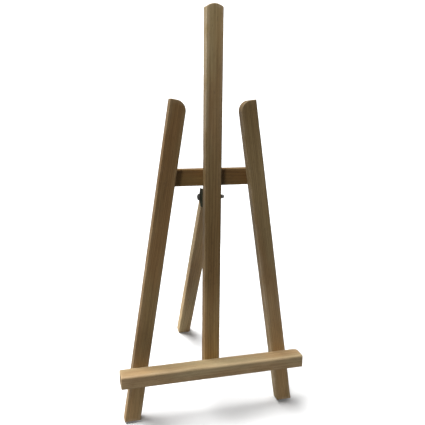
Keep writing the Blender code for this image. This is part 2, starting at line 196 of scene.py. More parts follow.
class EaselFinish(bpy.types.PropertyGroup):
    """Colours and surface of each finish."""

    pale_wood: colour("Pale wood", "Early wood of the battens", (0.370, 0.238, 0.102))
    dark_wood: colour("Dark wood", "Late wood and streaks of the battens", (0.220, 0.132, 0.045))
    ledge_pale: colour("Pale ledge", "Early wood of the ledge", (0.376, 0.283, 0.164))
    ledge_dark: colour("Dark ledge", "Late wood and streaks of the ledge", (0.243, 0.176, 0.092))
    rear_pale: colour("Pale rear leg", "Early wood of the rear leg", (0.385, 0.283, 0.158))
    rear_dark: colour("Dark rear leg", "Late wood of the rear leg", (0.235, 0.168, 0.086))
    worn_wood: colour("Worn wood", "Wood where the lacquer is rubbed thin", (0.52, 0.385, 0.225))
    enamel: colour("Enamel", "Dark green-black paint of the bracket", (0.020, 0.022, 0.005))
    black_steel: colour("Blackened steel", "Bolt, washer and nut", (0.20, 0.20, 0.19))
    bare_steel: colour("Bare steel", "Steel where its coat has gone", (0.42, 0.41, 0.38))
    zinc: colour("Zinc", "Wood screws", (0.55, 0.54, 0.49))
    ring_spacing: length("Ring spacing", "Distance between growth rings", 0.0019)
    wear: amount("Wear", "How strongly edges are rubbed", 0.6)


class EaselStage(bpy.types.PropertyGroup):
    """Camera, floor and light."""

    camera_place: FloatVectorProperty(
        name="Camera place",
        description="Where the camera stands",
        default=(-0.16996, -0.56953, 0.53377),
        subtype="TRANSLATION",
        unit="LENGTH",
    )
    camera_turn: angle("Camera turn", "Turn to the right from straight ahead", 17.275)
    camera_tilt: angle("Camera tilt", "Tilt below the horizon", 27.455)
    camera_roll: angle("Camera roll", "Roll of the camera to its left", 4.982)
    lens: amount("Lens", "Focal length in millimetres", 45.166, 200.0)
    shift: amount("Upward shift", "Upward shift of the lens", 0.0412)
    floor_size: length("Floor size", "Side of the square floor", 90.0)
    floor_colour: colour("Floor colour", "Plain pale floor", (0.82, 0.82, 0.82))
    floor_bounce: colour("Floor bounce", "Light that the floor gives back", (0.17, 0.17, 0.17))
    key_strength: amount("Key light", "Strength of the soft overhead light", 5.9, 20.0)
    key_spread: angle("Key spread", "Apparent width of the overhead light", 42.0)
    fill_strength: amount("Fill light", "Strength of the soft front light", 0.90, 20.0)
    fill_spread: angle("Fill spread", "Apparent width of the front light", 12.0)
    back_strength: amount("Back light", "Strength of the soft light from behind", 0.7, 20.0)
    back_spread: angle("Back spread", "Apparent width of the back light", 30.0)
    sky_strength: amount("Sky light", "Strength of the light from all round", 0.04, 5.0)


# ---- mesh tools ---------------------------------------------------------
def arc(centre, radius, start, end, count):
    """Points along an arc; the angles are in degrees."""
    points = []
    for index in range(count + 1):
        turn = math.radians(start + (end - start) * index / count)
        x = centre[0] + radius * math.cos(turn)
        y = centre[1] + radius * math.sin(turn)
        points.append((x, y))
    return points


def prism(outline, depth, axes):
    """A closed outline pulled to a depth about its own plane, then turned to axes."""
    work = bmesh.new()
    half = 0.5 * depth
    low = [work.verts.new(axes @ Vector((x, y, -half))) for x, y in outline]
    high = [work.verts.new(axes @ Vector((x, y, half))) for x, y in outline]
    work.faces.new(list(reversed(low)))
    work.faces.new(high)
    for index in range(len(outline)):
        after = (index + 1) % len(outline)
        work.faces.new((low[index], low[after], high[after], high[index]))
    bmesh.ops.recalc_face_normals(work, faces=work.faces)
    return work


def lathe(profile, sides, thread=None):
    """A profile of (radius, height), top to bottom, turned about Z.

    A thread is (lowest, highest, pitch, depth): rings between its heights are
    drawn in by its depth along a helix.
    """
    work = bmesh.new()
    rings = []
    for radius, height in profile:
        if radius == 0.0:
            rings.append([work.verts.new((0.0, 0.0, height))])
            continue
        ring = []
        for side in range(sides):
            turn = side / sides
            reach = radius
            if thread and thread[0] < height < thread[1]:
                phase = (height / thread[2] + turn) % 1.0
                reach -= thread[3] * abs(2.0 * phase - 1.0)
            x = reach * math.cos(2.0 * math.pi * turn)
            y = reach * math.sin(2.0 * math.pi * turn)
            ring.append(work.verts.new((x, y, height)))
        rings.append(ring)
    for upper, lower in zip(rings, rings[1:]):
        for side in range(sides):
            after = (side + 1) % sides
            corners = [upper[side % len(upper)], lower[side % len(lower)]]
            corners += [lower[after % len(lower)], upper[after % len(upper)]]
            work.faces.new(list(dict.fromkeys(corners)))
    bmesh.ops.recalc_face_normals(work, faces=work.faces)
    return work


def ring_lathe(profile, sides):
    """A closed profile clear of the axis, turned about Z."""
    work = bmesh.new()
    rows = []
    for radius, height in profile:
        row = []
        for side in range(sides):
            turn = 2.0 * math.pi * side / sides
            row.append(work.verts.new((radius * math.cos(turn), radius * math.sin(turn), height)))
        rows.append(row)
    for index, row in enumerate(rows):
        below = rows[(index + 1) % len(rows)]
        for side in range(sides):
            after = (side + 1) % sides
            work.faces.new((row[side], below[side], below[after], row[after]))
    bmesh.ops.recalc_face_normals(work, faces=work.faces)
    return work


def ease(work, radius, segments=4):
    """Round every sharp edge."""
    sharp = [edge for edge in work.edges if edge.calc_face_angle(0.0) > SHARP_EDGE]
    bmesh.ops.bevel(
        work,
        geom=sharp,
        offset=radius,
        segments=segments,
        profile=0.5,
        affect="EDGES",
        clamp_overlap=True,
    )


def slice_across(work, axis, step):
    """Cut the faces into strips of about one step along an axis."""
    normal = Vector([float(index == axis) for index in range(3)])
    reach = [vert.co[axis] for vert in work.verts]
    low = min(reach)
    count = max(1, round((max(reach) - low) / step))
    stride = (max(reach) - low) / count
    for index in range(1, count):
        geometry = work.verts[:] + work.edges[:] + work.faces[:]
        place = normal * (low + index * stride)
        bmesh.ops.bisect_plane(
            work, geom=geometry, dist=1e-6, plane_co=place, plane_no=normal
        )


def weather(work, seed, sway, dent, nicks=()):
    """Small unevenness of hand-sanded wood.

    Faces sway by a slow noise and edges lose a little in dents. A nick is
    (place, radius, depth): wood near the place is pushed in.
    """
    work.normal_update()
    moves = []
    for vert in work.verts:
        place = vert.co + Vector((seed, seed * 0.7, seed * 0.3))
        move = sway * noise.noise(place * SWAY_SCALE)
        if edge_share(vert) > WORN_FROM:
            rub = noise.noise(place * DENT_SCALE)
            move -= dent * max(0.0, rub - DENT_ABOVE)
        for centre, radius, depth in nicks:
            near = 1.0 - (vert.co - Vector(centre)).length / radius
            move -= depth * max(0.0, near)
        moves.append((vert, vert.normal * move))
    for vert, move in moves:
        vert.co += move


def make_timber(outline, depth, axes, eased, across, seed, sway, dent, nicks=()):
    """A sanded batten, cut into strips along Z and along (axis, step), then weathered."""
    work = prism(outline, depth, axes)
    ease(work, eased)
    slice_across(work, 2, STRIP_LENGTH)
    slice_across(work, *across)
    weather(work, seed, sway, dent, nicks)
    return work


def edge_share(vert):
    """How far a vertex lies on a rounded or sharp edge: 0 on a flat, 1 on an edge."""
    bend = max([edge.calc_face_angle(0.0) for edge in vert.link_edges], default=0.0)
    return min(1.0, bend / WEAR_FULL)


def to_object(work, name, matrix):
    mesh = bpy.data.meshes.new(name)
    work.to_mesh(mesh)
    work.free()
    piece = bpy.data.objects.new(name, mesh)
    bpy.context.scene.collection.objects.link(piece)
    piece.matrix_world = matrix
    return piece


def bore_cutter(name, radius, reach, matrix):
    """A round cutter that reaches both ways along its axis."""
    profile = [(0.0, reach), (radius, reach), (radius, -reach), (0.0, -reach)]
    return to_object(lathe(profile, SIDES_ROUND), name, matrix)


def cut(piece, tools, operation="DIFFERENCE"):
    """Cut a piece with tools, in place, and throw the tools away."""
    bpy.context.view_layer.update()
    for tool in tools:
        modifier = piece.modifiers.new("cut", "BOOLEAN")
        modifier.operation = operation
        modifier.solver = "EXACT"
        modifier.object = tool
    bake(piece)
    for tool in tools:
        bpy.data.objects.remove(tool, do_unlink=True)


def bake(piece):
    """Turn a piece's modifiers into its own mesh."""
    graph = bpy.context.evaluated_depsgraph_get()
    graph.update()
    mesh = bpy.data.meshes.new_from_object(piece.evaluated_get(graph))
    piece.modifiers.clear()
    piece.data = mesh


def finish_piece(piece, material, node, body):
    """Shade, mark wear, paint, hide the piece's CAD node and attach the piece to its body."""
    work = bmesh.new()
    work.from_mesh(piece.data)
    bmesh.ops.remove_doubles(work, verts=work.verts, dist=WELD_REACH)
    for edge in work.edges:
        edge.smooth = edge.calc_face_angle(0.0) < SHARP_EDGE
    for face in work.faces:
        face.smooth = True
        face.material_index = 0
    shares = [edge_share(vert) for vert in work.verts]
    work.to_mesh(piece.data)
    work.free()
    wear = piece.data.attributes.new("wear", "FLOAT", "POINT")
    wear.data.foreach_set("value", shares)
    weighted = piece.modifiers.new("even_shading", "WEIGHTED_NORMAL")
    weighted.keep_sharp = True
    bake(piece)
    piece.data.materials.clear()
    piece.data.materials.append(material)
    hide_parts(node)
    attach(piece, body)


def frame_axes(context):
    """Matrix of the leaning front frame, from the rear leg's joint."""
    timber = context.scene.easel_timber
    fittings = context.scene.easel_fittings
    lean = Matrix.Rotation(-timber.lean, 4, "X")
    hinge = lean @ Vector((0.0, fittings.hinge_back, fittings.hinge_height))
    return Matrix.Translation(HINGE_PLACE - hinge) @ lean


# Axes that take an outline of (across, along) to a batten's local X and Z.
FACE_AXES = Matrix.Rotation(math.radians(90.0), 4, "X")
# Axes that take an outline of (back, up) to a batten's local Y and Z.
SIDE_AXES = Matrix(((0, 0, 1, 0), (1, 0, 0, 0), (0, 1, 0, 0), (0, 0, 0, 1)))
# Turns a batten drawn upright to lie along the frame's X.
LYING = Matrix.Rotation(math.radians(90.0), 4, "Y")


# ---- shader tools -------------------------------------------------------
def shader_node(tree, kind, label, inputs=None, **settings):
    """A labelled node; an input may be a value or another node's output."""
    node = tree.nodes.new(kind)
    node.label = label
    for name, value in settings.items():
        setattr(node, name, value)
    for name, value in (inputs or {}).items():
        if isinstance(value, bpy.types.NodeSocket):
            tree.links.new(value, node.inputs[name])
        else:
            node.inputs[name].default_value = value
    return node


def maths(tree, label, operation, first, second=0.0, third=None):
    inputs = {0: first, 1: second}
    if third is not None:
        inputs[2] = third
    node = shader_node(tree, "ShaderNodeMath", label, inputs, operation=operation)
    return node.outputs[0]


def vector_maths(tree, label, operation, first, second):
    inputs = {0: first, 1: second}
    return shader_node(tree, "ShaderNodeVectorMath", label, inputs, operation=operation)


def stretch(tree, label, value, low, high, to_low=0.0, to_high=1.0):
    """Smoothly remaps a value from one range to another."""
    inputs = {
        "Value": value,
        "From Min": low,
        "From Max": high,
        "To Min": to_low,
        "To Max": to_high,
    }
    node = shader_node(
        tree, "ShaderNodeMapRange", label, inputs, interpolation_type="SMOOTHSTEP"
    )
    return node.outputs[0]


def mix(tree, label, factor, first, second, blend="MIX"):
    node = shader_node(tree, "ShaderNodeMix", label, data_type="RGBA", blend_type=blend)
    for name, value in (("Factor", factor), ("A", first), ("B", second)):
        sockets = [socket for socket in node.inputs if socket.name == name and socket.enabled]
        if isinstance(value, bpy.types.NodeSocket):
            tree.links.new(value, sockets[0])
        else:
            sockets[0].default_value = value
    return [socket for socket in node.outputs if socket.enabled][0]


def cloud(tree, label, vector, scale, detail=3.0, roughness=0.5):
    """A noise whose scale is a vector, so it can be drawn out along the grain."""
    scaled = vector_maths(tree, label + " scale", "MULTIPLY", vector, scale)
    inputs = {
        "Vector": scaled.outputs[0],
        "Scale": 1.0,
        "Detail": detail,
        "Roughness": roughness,
    }
    return shader_node(tree, "ShaderNodeTexNoise", label, inputs).outputs["Fac"]


def new_group(name, sockets):
    """A shader node group with named sockets: (name, direction, kind, default)."""
    group = bpy.data.node_groups.new(name, "ShaderNodeTree")
    for label, direction, kind, default in sockets:
        socket = group.interface.new_socket(
            name=label, in_out=direction, socket_type="NodeSocket" + kind
        )
        if default is not None:
            socket.default_value = default
    start = group.nodes.new("NodeGroupInput")
    end = group.nodes.new("NodeGroupOutput")
    return group, start.outputs, end.inputs


def wood_figure_group():
    """Growth rings, streaks, fibres and pores of a straight-grained hardwood."""
    name = "Wood Figure"
    if name in bpy.data.node_groups:
        return bpy.data.node_groups[name]
    pale = (0.44, 0.29, 0.14, 1.0)
    dark = (0.27, 0.17, 0.07, 1.0)
    sockets = (
        ("Vector", "INPUT", "Vector", None),
        ("Pith", "INPUT", "Vector", None),
        ("Ring Spacing", "INPUT", "Float", 0.002),
        ("Pale Wood", "INPUT", "Color", pale),
        ("Dark Wood", "INPUT", "Color", dark),
        ("Colour", "OUTPUT", "Color", None),
        ("Height", "OUTPUT", "Float", None),
        ("Gloss Loss", "OUTPUT", "Float", None),
    )
    group, given, result = new_group(name, sockets)
    place = vector_maths(group, "from pith", "ADD", given["Vector"], given["Pith"])
    moved = place.outputs[0]

    flat = vector_maths(group, "across", "MULTIPLY", moved, (1.0, 1.0, 0.0))
    radius = vector_maths(group, "radius", "LENGTH", flat.outputs[0], (0.0, 0.0, 0.0))
    sway = cloud(group, "sway", moved, (16.0, 16.0, 3.2), 2.0)
    bend = maths(group, "bend", "MULTIPLY_ADD", sway, 0.011)
    drift = maths(group, "drift", "ADD", radius.outputs["Value"], bend)
    turns = maths(group, "ring count", "DIVIDE", drift, given["Ring Spacing"])
    phase = maths(group, "ring phase", "FRACT", turns)
    rise = stretch(group, "late wood starts", phase, 0.30, 0.86)
    fall = stretch(group, "late wood ends", phase, 0.90, 1.0, 1.0, 0.0)
    late = maths(group, "late wood", "MULTIPLY", rise, fall)
    streak = cloud(group, "streaks", moved, (240.0, 240.0, 5.0), 4.0, 0.6)
    streaks = stretch(group, "streak mask", streak, 0.36, 0.66)
    fibre = cloud(group, "fibres", moved, (1500.0, 1500.0, 26.0), 3.0, 0.65)
    fibres = stretch(group, "fibre mask", fibre, 0.34, 0.70)
    pore = cloud(group, "pores", moved, (2100.0, 2100.0, 130.0), 1.0)
    pores = stretch(group, "pore mask", pore, 0.66, 0.74)
    patch = cloud(group, "patches", moved, (34.0, 34.0, 7.0), 2.0)
    patches = stretch(group, "patch mask", patch, 0.38, 0.62)

    rings = maths(group, "ring share", "MULTIPLY", late, 0.36)
    lines = maths(group, "streak share", "MULTIPLY_ADD", streaks, 0.40, rings)
    base = mix(group, "wood", lines, given["Pale Wood"], given["Dark Wood"])
    warm = (0.98, 0.88, 0.78, 1.0)
    cool = (1.02, 1.06, 1.04, 1.0)
    tint = mix(group, "tint", patches, warm, cool)
    tinted = mix(group, "tinted wood", 1.0, base, tint, "MULTIPLY")
    dim = (0.80, 0.77, 0.72, 1.0)
    thread = mix(group, "fibre tone", fibres, (1.06, 1.06, 1.06, 1.0), dim)
    lined = mix(group, "fibred wood", 1.0, tinted, thread, "MULTIPLY")
    pore_share = maths(group, "pore share", "MULTIPLY", pores, 0.55)
    shaded = mix(group, "pored wood", pore_share, lined, (0.10, 0.06, 0.028, 1.0))
    group.links.new(shaded, result["Colour"])

    fine = maths(group, "fibre depth", "MULTIPLY", fibres, -0.5)
    deep = maths(group, "pore depth", "MULTIPLY_ADD", pores, -0.9, fine)
    relief = maths(group, "ring relief", "MULTIPLY_ADD", late, 0.35, deep)
    group.links.new(relief, result["Height"])
    group.links.new(pores, result["Gloss Loss"])
    return group


def worn_edges_group():
    """Where edges are rubbed: the mesh's wear, broken up by two noises."""
    name = "Worn Edges"
    if name in bpy.data.node_groups:
        return bpy.data.node_groups[name]
    sockets = (
        ("Vector", "INPUT", "Vector", None),
        ("Wear", "INPUT", "Float", 0.0),
        ("Amount", "INPUT", "Float", 0.5),
        ("Mask", "OUTPUT", "Float", None),
    )
    group, given, result = new_group(name, sockets)
    broad = cloud(group, "rubbed stretches", given["Vector"], (90.0, 90.0, 40.0), 2.0)
    fine = cloud(group, "small rubs", given["Vector"], (900.0, 900.0, 500.0), 2.0)
    total = maths(group, "rub", "MULTIPLY_ADD", fine, 0.4, broad)
    rubbed = stretch(group, "rub mask", total, 0.52, 0.86)
    worn = maths(group, "on edges", "MULTIPLY", rubbed, given["Wear"])
    scaled = maths(group, "amount", "MULTIPLY", worn, given["Amount"])
    group.links.new(scaled, result["Mask"])
    return group


def handling_group():
    """Thin grime and polish from hands: a soft mask and a roughness share."""
    name = "Handling Marks"
    if name in bpy.data.node_groups:
        return bpy.data.node_groups[name]
    sockets = (
        ("Vector", "INPUT", "Vector", None),
        ("Grime", "OUTPUT", "Float", None),
        ("Smear", "OUTPUT", "Float", None),
    )
    group, given, result = new_group(name, sockets)
    broad = cloud(group, "grime", given["Vector"], (48.0, 48.0, 20.0), 5.0, 0.62)
    smear = cloud(group, "smears", given["Vector"], (160.0, 160.0, 60.0), 4.0, 0.6)
    group.links.new(stretch(group, "grime mask", broad, 0.46, 0.78), result["Grime"])
    group.links.new(stretch(group, "smear mask", smear, 0.30, 0.72), result["Smear"])
    return group


def scratches_group():
    """Fine scratches in two directions for metal: a mask and a height."""
    name = "Fine Scratches"
    if name in bpy.data.node_groups:
        return bpy.data.node_groups[name]
    sockets = (
        ("Vector", "INPUT", "Vector", None),
        ("Mask", "OUTPUT", "Float", None),
        ("Height", "OUTPUT", "Float", None),
    )
    group, given, result = new_group(name, sockets)
    long_way = cloud(group, "long", given["Vector"], (5200.0, 900.0, 240.0), 2.0)
    cross_way = cloud(group, "cross", given["Vector"], (700.0, 5600.0, 2400.0), 2.0)
    first = stretch(group, "long lines", long_way, 0.58, 0.70)
    second = stretch(group, "cross lines", cross_way, 0.60, 0.72)
    both = maths(group, "scratches", "MAXIMUM", first, second)
    group.links.new(both, result["Mask"])
    sunk = maths(group, "scratch depth", "MULTIPLY", both, -1.0)
    group.links.new(sunk, result["Height"])
    return group


def use_group(tree, group, inputs):
    return shader_node(tree, "ShaderNodeGroup", group.name, inputs, node_tree=group).outputs


def new_material(name):
    """An empty material with its shader, object coordinates and the mesh's wear."""
    material = bpy.data.materials.new(name)
    material.use_nodes = True
    tree = material.node_tree
    shader = tree.nodes["Principled BSDF"]
    vector = shader_node(tree, "ShaderNodeTexCoord", "piece axes").outputs["Object"]
    wear = shader_node(tree, "ShaderNodeAttribute", "wear", attribute_name="wear")
    return material, tree, shader, vector, wear.outputs["Fac"]


def add_relief(tree, shader, height, distance, strength):
    inputs = {"Height": height, "Distance": distance, "Strength": strength}
    bump = shader_node(tree, "ShaderNodeBump", "relief", inputs)
    tree.links.new(bump.outputs[0], shader.inputs["Normal"])


def painted_light_and_tone_along(tree, vector, painted_light_and_tones):
    """Painted light and shade along a piece, with a small colour shift; each stop is (local Z,
    tone, warmth), from low to high.
    """
    height = shader_node(tree, "ShaderNodeSeparateXYZ", "along", {"Vector": vector}).outputs["Z"]
    low = painted_light_and_tones[0][0]
    high = painted_light_and_tones[-1][0]
    inputs = {"Value": height, "From Min": low, "From Max": high}
    share = shader_node(tree, "ShaderNodeMapRange", "share of length", inputs).outputs[0]
    node = shader_node(tree, "ShaderNodeValToRGB", "painted light and tone along", {"Fac": share})
    node.color_ramp.interpolation = "B_SPLINE"
    stops = node.color_ramp.elements
    for _ in range(len(painted_light_and_tones) - 2):
        stops.new(0.5)
    for stop, (place, tone, warmth) in zip(stops, painted_light_and_tones):
        stop.position = (place - low) / (high - low)
        grey = tone / TONE_REACH
        red = grey * (1.0 + WARM_RED * warmth)
        blue = grey * (1.0 - WARM_BLUE * warmth)
        stop.color = (red, grey, blue, 1.0)
    reach = (TONE_REACH, TONE_REACH, TONE_REACH)
    return vector_maths(tree, "full painted light and tone", "MULTIPLY", node.outputs["Color"], reach).outputs[0]


def wood_material(context, name, pith, pale, dark, painted_light_and_tones):
    """Satin-lacquered hardwood with painted light and shade along it; the pith vector sets the
    piece's own ring pattern.
    """
    finish = context.scene.easel_finish
    material, tree, shader, vector, wear = new_material(name)
    inputs = {"Vector": vector, "Pith": pith, "Ring Spacing": finish.ring_spacing}
    inputs.update({"Pale Wood": (*pale, 1.0), "Dark Wood": (*dark, 1.0)})
    figure = use_group(tree, wood_figure_group(), inputs)
    inputs = {"Vector": vector, "Wear": wear, "Amount": finish.wear}
    rub = use_group(tree, worn_edges_group(), inputs)
    marks = use_group(tree, handling_group(), {"Vector": vector})
    # Painted light and shade: the wood, and its rubbed edges, are made lighter or darker along
    # the piece.
    tone = painted_light_and_tone_along(tree, vector, painted_light_and_tones)
    toned = mix(tree, "wood with painted light and tone", 1.0, figure["Colour"], tone, "MULTIPLY")
    rubbed = mix(tree, "rubbed wood", 1.0, (*finish.worn_wood, 1.0), tone, "MULTIPLY")
    worn = mix(tree, "worn", rub["Mask"], toned, rubbed)
    grime_share = maths(tree, "grime share", "MULTIPLY", marks["Grime"], 0.30)
    grimy = mix(tree, "grime", grime_share, worn, (0.58, 0.50, 0.42, 1.0), "MULTIPLY")
    tree.links.new(grimy, shader.inputs["Base Color"])
    satin = stretch(tree, "satin", marks["Smear"], 0.0, 1.0, 0.46, 0.60)
    dull = maths(tree, "dull pores", "MULTIPLY_ADD", figure["Gloss Loss"], 0.25, satin)
    tree.links.new(dull, shader.inputs["Roughness"])
    lacquer = stretch(tree, "lacquer", rub["Mask"], 0.0, 0.6, 0.10, 0.01)
    tree.links.new(lacquer, shader.inputs["Coat Weight"])
    shader.inputs["Coat Roughness"].default_value = LACQUER_ROUGHNESS
    shader.inputs["Specular IOR Level"].default_value = WOOD_SHINE
    add_relief(tree, shader, figure["Height"], GRAIN_DEPTH, 0.45)
    return material


def finish_timber(context, piece, node, pith, painted_light_and_tones, slot="frame_wood", body=FRAME_BODY):
    """Give a wooden piece its own wood, in its slot's two colours, with painted light and shade
    along it.
    """
    finish = context.scene.easel_finish
    colours = {
        "frame_wood": (finish.pale_wood, finish.dark_wood),
        "ledge_wood": (finish.ledge_pale, finish.ledge_dark),
        "rear_leg_wood": (finish.rear_pale, finish.rear_dark),
    }
    wood = wood_material(context, node + "_wood", pith, *colours[slot], painted_light_and_tones)
    finish_piece(piece, wood, node, body)


def coated_metal_material(
    context, name, coat, *, roughness, metal_share=0.0, wear_amount, shine, painted_light_and_tones=()
):
    """A coat over steel, rubbed through on its edges and finely scratched, with painted light and
    tone along it when given.
    """
    finish = context.scene.easel_finish
    material, tree, shader, vector, wear = new_material(name)
    inputs = {"Vector": vector, "Wear": wear, "Amount": wear_amount}
    rub = use_group(tree, worn_edges_group(), inputs)
    marks = use_group(tree, handling_group(), {"Vector": vector})
    lines = use_group(tree, scratches_group(), {"Vector": vector})
    scratch = maths(tree, "scratch share", "MULTIPLY", lines["Mask"], 0.18)
    bare = maths(tree, "bare metal", "MAXIMUM", rub["Mask"], scratch)
    pale_coat = [1.5 * channel for channel in coat]
    tone = mix(tree, "mottled coat", marks["Smear"], (*coat, 1.0), (*pale_coat, 1.0))
    # Painted light and tone: the coat is made lighter or darker along the piece.
    if painted_light_and_tones:
        tone = mix(tree, "coat with painted light and tone", 1.0, tone, painted_light_and_tone_along(tree, vector, painted_light_and_tones), "MULTIPLY")
    colour_out = mix(tree, "coat and steel", bare, tone, (*finish.bare_steel, 1.0))
    tree.links.new(colour_out, shader.inputs["Base Color"])
    metal = stretch(tree, "metal", bare, 0.0, 0.5, metal_share, 1.0)
    tree.links.new(metal, shader.inputs["Metallic"])
    rough = stretch(tree, "roughness", marks["Smear"], 0.0, 1.0, roughness, roughness + 0.14)
    tree.links.new(rough, shader.inputs["Roughness"])
    shader.inputs["Specular IOR Level"].default_value = shine
    add_relief(tree, shader, lines["Height"], SCRATCH_DEPTH, 0.5)
    return material


def floor_material(context):
    """A plain pale floor with a barely mottled, matt surface."""
    stage = context.scene.easel_stage
    material, tree, shader, vector, _ = new_material("pale_floor")
    mottle = cloud(tree, "mottle", vector, (1.5, 1.5, 1.5), 3.0)
    edge = tuple(0.985 * channel for channel in stage.floor_colour)
    tone = mix(tree, "floor tone", mottle, (*stage.floor_colour, 1.0), (*edge, 1.0))
    rays = shader_node(tree, "ShaderNodeLightPath", "ray kind").outputs["Is Camera Ray"]
    seen = mix(tree, "seen or bounced", rays, (*stage.floor_bounce, 1.0), tone)
    tree.links.new(seen, shader.inputs["Base Color"])
    grain = cloud(tree, "floor grain", vector, (600.0, 600.0, 600.0), 2.0)
    tree.links.new(stretch(tree, "matt", grain, 0.0, 1.0, 0.85, 0.95), shader.inputs["Roughness"])
    shader.inputs["Specular IOR Level"].default_value = 0.2
    return material


# ---- screws and lights, shared by the operators --------------------------
def leg_centre(timber, height):
    """How far a front leg's middle is from the mast's, at a height up the frame."""
    return timber.foot_spread - height * math.tan(timber.splay)


def screw_rows(context):
    """Every screw as (name, head's place in the frame, length)."""
    timber = context.scene.easel_timber
    fittings = context.scene.easel_fittings
    rows = []
    back = 2.0 * timber.thick + HOLE_GAP
    reach = leg_centre(timber, timber.crossbar_centre) - fittings.crossbar_inset
    sides = (("left", -1.0), ("centre", 0.0), ("right", 1.0))
    for label, side in sides:
        for level, sign in (("lower", -1.0), ("upper", 1.0)):
            height = timber.crossbar_centre + sign * fittings.crossbar_step
            name = "crossbar_screw_" + label + "_" + level
            rows.append((name, (side * reach, back, height), fittings.crossbar_screw))
    height = timber.ledge_bottom + 0.5 * timber.ledge_height
    reach = leg_centre(timber, height)
    for label, side in sides:
        name = "ledge_screw_" + label
        rows.append((name, (side * reach, timber.thick, height), fittings.ledge_screw))
    web = timber.thick + HOLE_GAP + fittings.plate
    low = fittings.bottom + fittings.bracket_margin
    high = fittings.top - fittings.bracket_margin
    for label, height in (("lower", low), ("upper", high)):
        name = "bracket_screw_" + label
        rows.append((name, (0.0, web, height), fittings.bracket_screw))
    return rows


def screw_matrix(context, place):
    sunk = Vector(place) - Vector((0.0, context.scene.easel_fittings.screw_sink, 0.0))
    drive = Matrix.Rotation(math.radians(-90.0), 4, "X")
    return frame_axes(context) @ Matrix.Translation(sunk) @ drive


def screw_holes(context, prefix, label=""):
    """Countersunk cutters for the screws whose names start and go on as given."""
    fittings = context.scene.easel_fittings
    tools = []
    for name, place, reach in screw_rows(context):
        if not name.startswith(prefix) or label not in name:
            continue
        head = fittings.screw_head + HOLE_GAP
        shank = fittings.screw_shank + HOLE_GAP
        cone = fittings.screw_head - fittings.screw_shank
        profile = [
            (0.0, CUT_MARGIN),
            (head, CUT_MARGIN),
            (head, -HOLE_GAP),
            (shank, -HOLE_GAP - cone),
            (shank, fittings.screw_point - reach),
            (0.0, -reach - HOLE_GAP),
        ]
        work = lathe(profile, SIDES_ROUND)
        tools.append(to_object(work, name + "_hole", screw_matrix(context, place)))
    return tools


def cross_cutter(name, cross, matrix):
    """A cross recess, given as (length, width, depth), that narrows towards its bottom."""
    across, slot, depth = cross
    long_half = 0.5 * across
    short_half = 0.5 * slot
    levels = ((CUT_MARGIN, 1.0, 1.0), (0.0, 1.0, 1.0), (-depth, 0.45, 0.75))
    rows = []
    work = bmesh.new()
    for height, long_share, short_share in levels:
        row = []
        for quarter in range(4):
            turn = Matrix.Rotation(math.radians(90.0 * quarter), 3, "Z")
            reach = long_half * long_share
            short = short_half * short_share
            for point in ((reach, -short), (reach, short), (short, short)):
                row.append(work.verts.new(turn @ Vector((point[0], point[1], height))))
        rows.append(row)
    work.faces.new(rows[0])
    work.faces.new(list(reversed(rows[-1])))
    for upper, lower in zip(rows, rows[1:]):
        for index in range(len(upper)):
            after = (index + 1) % len(upper)
            work.faces.new((upper[index], lower[index], lower[after], upper[after]))
    bmesh.ops.recalc_face_normals(work, faces=work.faces)
    return to_object(work, name, matrix)


def hang_light(scene, name, strength, spread, towards):
    """A wide, soft, distant light; towards points from the easel to the light."""
    light = bpy.data.lights.new(name, "SUN")
    light.energy = strength
    light.angle = spread
    lamp = bpy.data.objects.new(name, light)
    scene.collection.objects.link(lamp)
    lamp.rotation_euler = towards.to_track_quat("Z", "Y").to_euler()


# ---- operators ----------------------------------------------------------
class EASEL_OT_mast(bpy.types.Operator):
    """Build the mast with its crowned top"""

    bl_idname = "easel.mast"
    bl_label = "Mast"

    def execute(self, context):
        timber = context.scene.easel_timber
        half = 0.5 * timber.width
        rise = timber.mast_rise
        radius = (half**2 + rise**2) / (2.0 * rise)
        swing = math.degrees(math.asin(half / radius))
        centre = (0.0, timber.mast_top - radius)
        crown = arc(centre, radius, 90.0 - swing, 90.0 + swing, 24)
        outline = [(-half, timber.ledge_bottom), (half, timber.ledge_bottom)] + crown
        across = (0, STRIP_WIDTH)
        work = make_timber(
            outline, timber.thick, FACE_AXES, timber.eased, across, 3.0, FACE_SWAY, EDGE_DENT
        )
        offset = Matrix.Translation((0.0, 0.5 * timber.thick, 0.0))
        mast = to_object(work, "mast_batten", frame_axes(context) @ offset)
        tools = screw_holes(context, "crossbar_screw", "centre")
        tools += screw_holes(context, "ledge_screw", "centre")
        tools += screw_holes(context, "bracket_screw")
        cut(mast, tools)
        pith = (0.031, 0.058, 0.9)
        # Painted light and shade along the mast: darkest in its lower middle, lightest at its
        # crowned top.
        painted_light_and_tones = (
            (0.0573, 0.80, 1.5),
            (0.12, 0.95, 0.3),
            (0.20, 0.42, 1.0),
            (0.30, 0.60, 0.5),
            (0.38, 0.88, -1.6),
            (0.47, 1.42, -1.5),
        )
        finish_timber(context, mast, "mast", pith, painted_light_and_tones)
        return {"FINISHED"}


